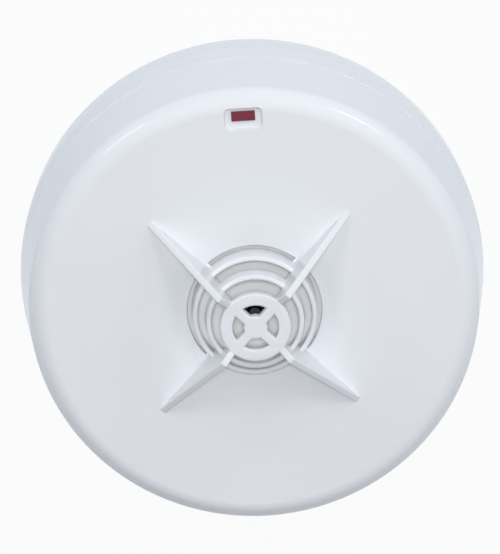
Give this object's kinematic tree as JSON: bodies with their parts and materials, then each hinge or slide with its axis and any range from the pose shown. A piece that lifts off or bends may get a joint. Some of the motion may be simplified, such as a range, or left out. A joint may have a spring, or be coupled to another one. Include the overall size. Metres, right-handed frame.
{
  "type": "heat detector",
  "caption": "Round white ceiling heat detector: a twist-on head with a finned guard cage round its sensor bead, on a screw-terminal mounting base.",
  "frame": {"origin": "centre of the mounting base's back face, which lies against the ceiling", "axes": "+Z out of the detector's face along its axis, +Y towards the indicator lens, +X to the right seen from the face"},
  "size_m": [0.1, 0.1, 0.0472],
  "materials": {
    "base_white": "satin moulded white plastic",
    "cover_white": "semi-gloss moulded white plastic",
    "well_white": "satin moulded white plastic",
    "chassis_white": "satin moulded white plastic",
    "lens_red": "clear dark red light pipe",
    "led_red": "diffused red lamp",
    "board_green": "green solder mask",
    "sleeve_black": "black moulded sleeve",
    "bead_black": "black epoxy coating",
    "chip_black": "moulded black epoxy",
    "capacitor_sleeve": "shrunk plastic sleeve",
    "capacitor_film": "dipped plastic case",
    "resistor_black": "glazed resistor film",
    "ceramic_tan": "fired ceramic",
    "plated_bronze": "tin-plated sprung bronze",
    "rivet_brass": "plain brass",
    "tinned_wire": "tinned wire",
    "zinc_steel": "bright zinc plate"
  },
  "bodies": {
    "base": {"base_plate": "base_white", "terminal_spring_1": "plated_bronze", "terminal_spring_2": "plated_bronze", "terminal_spring_3": "plated_bronze", "terminal_spring_4": "plated_bronze"},
    "head": {"front_cover": "cover_white", "indicator_lens": "lens_red", "chassis_plate": "chassis_white", "chassis_screws": "zinc_steel", "contact_blade_1": "plated_bronze", "contact_blade_2": "plated_bronze", "contact_blade_3": "plated_bronze", "contact_blade_4": "plated_bronze", "blade_rivet_1": "rivet_brass", "blade_rivet_2": "rivet_brass", "blade_rivet_3": "rivet_brass", "blade_rivet_4": "rivet_brass", "board_link_1": "plated_bronze", "board_link_2": "plated_bronze", "board_link_3": "plated_bronze", "board_link_4": "plated_bronze", "circuit_board": "board_green", "indicator_led": "led_red", "vent_well": "well_white", "sensor_sleeve": "sleeve_black", "sensing_thermistor": "bead_black", "thermistor_leads": "tinned_wire", "reference_thermistor": "bead_black", "controller_chip": "chip_black", "bridge_rectifier": "chip_black", "alarm_transistor": "chip_black", "electrolytic_capacitor": "capacitor_sleeve", "film_capacitor": "capacitor_film", "resistors": "resistor_black", "ceramic_capacitors": "ceramic_tan"},
    "washer_1": {"clamp_washer_1": "zinc_steel"},
    "screw_1": {"terminal_screw_1": "zinc_steel"},
    "washer_2": {"clamp_washer_2": "zinc_steel"},
    "screw_2": {"terminal_screw_2": "zinc_steel"},
    "washer_3": {"clamp_washer_3": "zinc_steel"},
    "screw_3": {"terminal_screw_3": "zinc_steel"},
    "washer_4": {"clamp_washer_4": "zinc_steel"},
    "screw_4": {"terminal_screw_4": "zinc_steel"}
  },
  "joints": [
    {"name": "head_twist", "type": "hinge", "parent": "base", "child": "head", "pos_m": [0, 0, 0.012], "axis": [0, 0, 1], "range_deg": [0, 25]},
    {"name": "washer_1_lift", "type": "slide", "parent": "base", "child": "washer_1", "axis": [0, 0, 1], "range_m": [0, 0.0015]},
    {"name": "screw_1_turn", "type": "hinge", "parent": "washer_1", "child": "screw_1", "pos_m": [0.02447, 0.01141, 0.0076], "axis": [0, 0, 1], "range_deg": [0, 1080]},
    {"name": "washer_2_lift", "type": "slide", "parent": "base", "child": "washer_2", "axis": [0, 0, 1], "range_m": [0, 0.0015]},
    {"name": "screw_2_turn", "type": "hinge", "parent": "washer_2", "child": "screw_2", "pos_m": [-0.01141, 0.02447, 0.0076], "axis": [0, 0, 1], "range_deg": [0, 1080]},
    {"name": "washer_3_lift", "type": "slide", "parent": "base", "child": "washer_3", "axis": [0, 0, 1], "range_m": [0, 0.0015]},
    {"name": "screw_3_turn", "type": "hinge", "parent": "washer_3", "child": "screw_3", "pos_m": [-0.02447, -0.01141, 0.0076], "axis": [0, 0, 1], "range_deg": [0, 1080]},
    {"name": "washer_4_lift", "type": "slide", "parent": "base", "child": "washer_4", "axis": [0, 0, 1], "range_m": [0, 0.0015]},
    {"name": "screw_4_turn", "type": "hinge", "parent": "washer_4", "child": "screw_4", "pos_m": [0.01141, -0.02447, 0.0076], "axis": [0, 0, 1], "range_deg": [0, 1080]}
  ],
  "couplings": [
    {"joint": "screw_1_turn", "follows": "washer_1_lift", "rad_per_m": 12566},
    {"joint": "screw_2_turn", "follows": "washer_2_lift", "rad_per_m": 12566},
    {"joint": "screw_3_turn", "follows": "washer_3_lift", "rad_per_m": 12566},
    {"joint": "screw_4_turn", "follows": "washer_4_lift", "rad_per_m": 12566}
  ]
}
